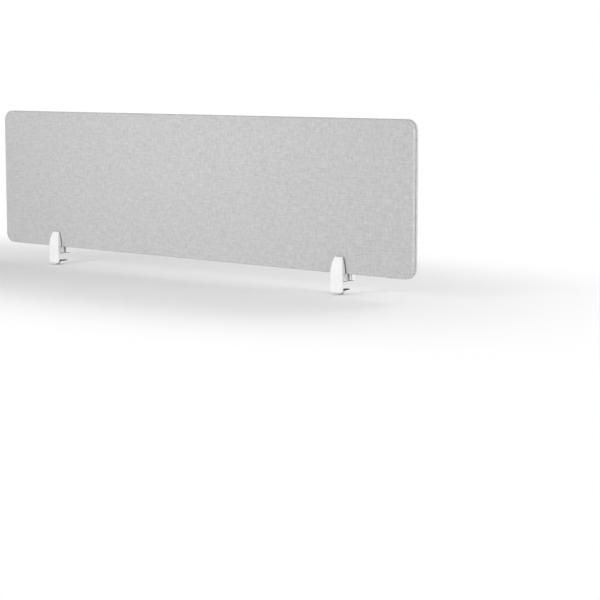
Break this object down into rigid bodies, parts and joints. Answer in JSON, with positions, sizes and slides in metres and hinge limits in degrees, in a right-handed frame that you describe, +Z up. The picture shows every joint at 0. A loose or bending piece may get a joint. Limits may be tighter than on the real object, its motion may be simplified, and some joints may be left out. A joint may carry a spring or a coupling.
{
  "type": "desk privacy panel",
  "caption": "Low upholstered screen with rounded corners in light grey cloth, held on a desk edge by white cast clamps with leaf shaped jaws.",
  "frame": {"origin": "on the desk top plane at the desk's edge, midway between the two clamps", "axes": "+X along the panel, +Y inward over the desk top, +Z up"},
  "size_m": [1.6, 0.051, 0.454],
  "materials": {
    "cover_cloth": "matte",
    "keder_strip": "matte",
    "wadding_fleece": "matte",
    "absorber_felt": "matte",
    "frame_wood": "matte",
    "dowel_wood": "matte",
    "white_casting": "satin",
    "grip_rubber": "matte",
    "plated_steel": "satin"
  },
  "bodies": {
    "panel": {"frame_top_rail": "frame_wood", "frame_bottom_rail": "frame_wood", "frame_left_stile": "frame_wood", "frame_right_stile": "frame_wood", "frame_dowels": "dowel_wood", "absorber_core": "absorber_felt", "front_wadding": "wadding_fleece", "back_wadding": "wadding_fleece", "front_cover": "cover_cloth", "back_cover": "cover_cloth", "edge_keder": "keder_strip"},
    "left_clamp": {"left_outer_jaw": "white_casting", "left_outer_liner": "grip_rubber", "left_shelf_pad": "grip_rubber", "left_edge_pads": "grip_rubber", "left_guide_pins": "plated_steel"},
    "left_inner": {"left_inner_jaw": "white_casting", "left_inner_liner": "grip_rubber", "left_foot_pad": "grip_rubber", "left_cross_washer": "plated_steel"},
    "left_cross_screw": {"left_cross_bolt": "plated_steel"},
    "left_lower": {"left_lower_jaw": "white_casting", "left_lower_pad": "grip_rubber", "left_draw_washer": "plated_steel"},
    "left_draw_screw": {"left_draw_bolt": "plated_steel"},
    "right_clamp": {"right_outer_jaw": "white_casting", "right_outer_liner": "grip_rubber", "right_shelf_pad": "grip_rubber", "right_edge_pads": "grip_rubber", "right_guide_pins": "plated_steel"},
    "right_inner": {"right_inner_jaw": "white_casting", "right_inner_liner": "grip_rubber", "right_foot_pad": "grip_rubber", "right_cross_washer": "plated_steel"},
    "right_cross_screw": {"right_cross_bolt": "plated_steel"},
    "right_lower": {"right_lower_jaw": "white_casting", "right_lower_pad": "grip_rubber", "right_draw_washer": "plated_steel"},
    "right_draw_screw": {"right_draw_bolt": "plated_steel"}
  },
  "joints": [
    {"name": "left_clamp_slide", "type": "slide", "parent": "panel", "child": "left_clamp", "axis": [1, 0, 0], "range_m": [-0.185, 0.5]},
    {"name": "left_inner_slide", "type": "slide", "parent": "left_clamp", "child": "left_inner", "axis": [0, 1, 0], "range_m": [0, 0.008]},
    {"name": "left_cross_turn", "type": "hinge", "parent": "left_inner", "child": "left_cross_screw", "pos_m": [-0.56, 0.03, 0.0125], "axis": [0, 1, 0], "range_deg": [0, 2880.1]},
    {"name": "left_lower_slide", "type": "slide", "parent": "left_clamp", "child": "left_lower", "axis": [0, 0, 1], "range_m": [-0.006, 0.006]},
    {"name": "left_draw_turn", "type": "hinge", "parent": "left_lower", "child": "left_draw_screw", "pos_m": [-0.56, -0.0044, -0.03], "axis": [0, 0, 1], "range_deg": [-2700.1, 2700.1]},
    {"name": "right_clamp_slide", "type": "slide", "parent": "panel", "child": "right_clamp", "axis": [1, 0, 0], "range_m": [-0.5, 0.185]},
    {"name": "right_inner_slide", "type": "slide", "parent": "right_clamp", "child": "right_inner", "axis": [0, 1, 0], "range_m": [0, 0.008]},
    {"name": "right_cross_turn", "type": "hinge", "parent": "right_inner", "child": "right_cross_screw", "pos_m": [0.56, 0.03, 0.0125], "axis": [0, 1, 0], "range_deg": [0, 2880.1]},
    {"name": "right_lower_slide", "type": "slide", "parent": "right_clamp", "child": "right_lower", "axis": [0, 0, 1], "range_m": [-0.006, 0.006]},
    {"name": "right_draw_turn", "type": "hinge", "parent": "right_lower", "child": "right_draw_screw", "pos_m": [0.56, -0.0044, -0.03], "axis": [0, 0, 1], "range_deg": [-2700.1, 2700.1]}
  ],
  "couplings": [
    {"joint": "left_cross_turn", "follows": "left_inner_slide", "rad_per_m": 6283.2},
    {"joint": "left_draw_turn", "follows": "left_lower_slide", "rad_per_m": 7854},
    {"joint": "right_cross_turn", "follows": "right_inner_slide", "rad_per_m": 6283.2},
    {"joint": "right_draw_turn", "follows": "right_lower_slide", "rad_per_m": 7854}
  ]
}
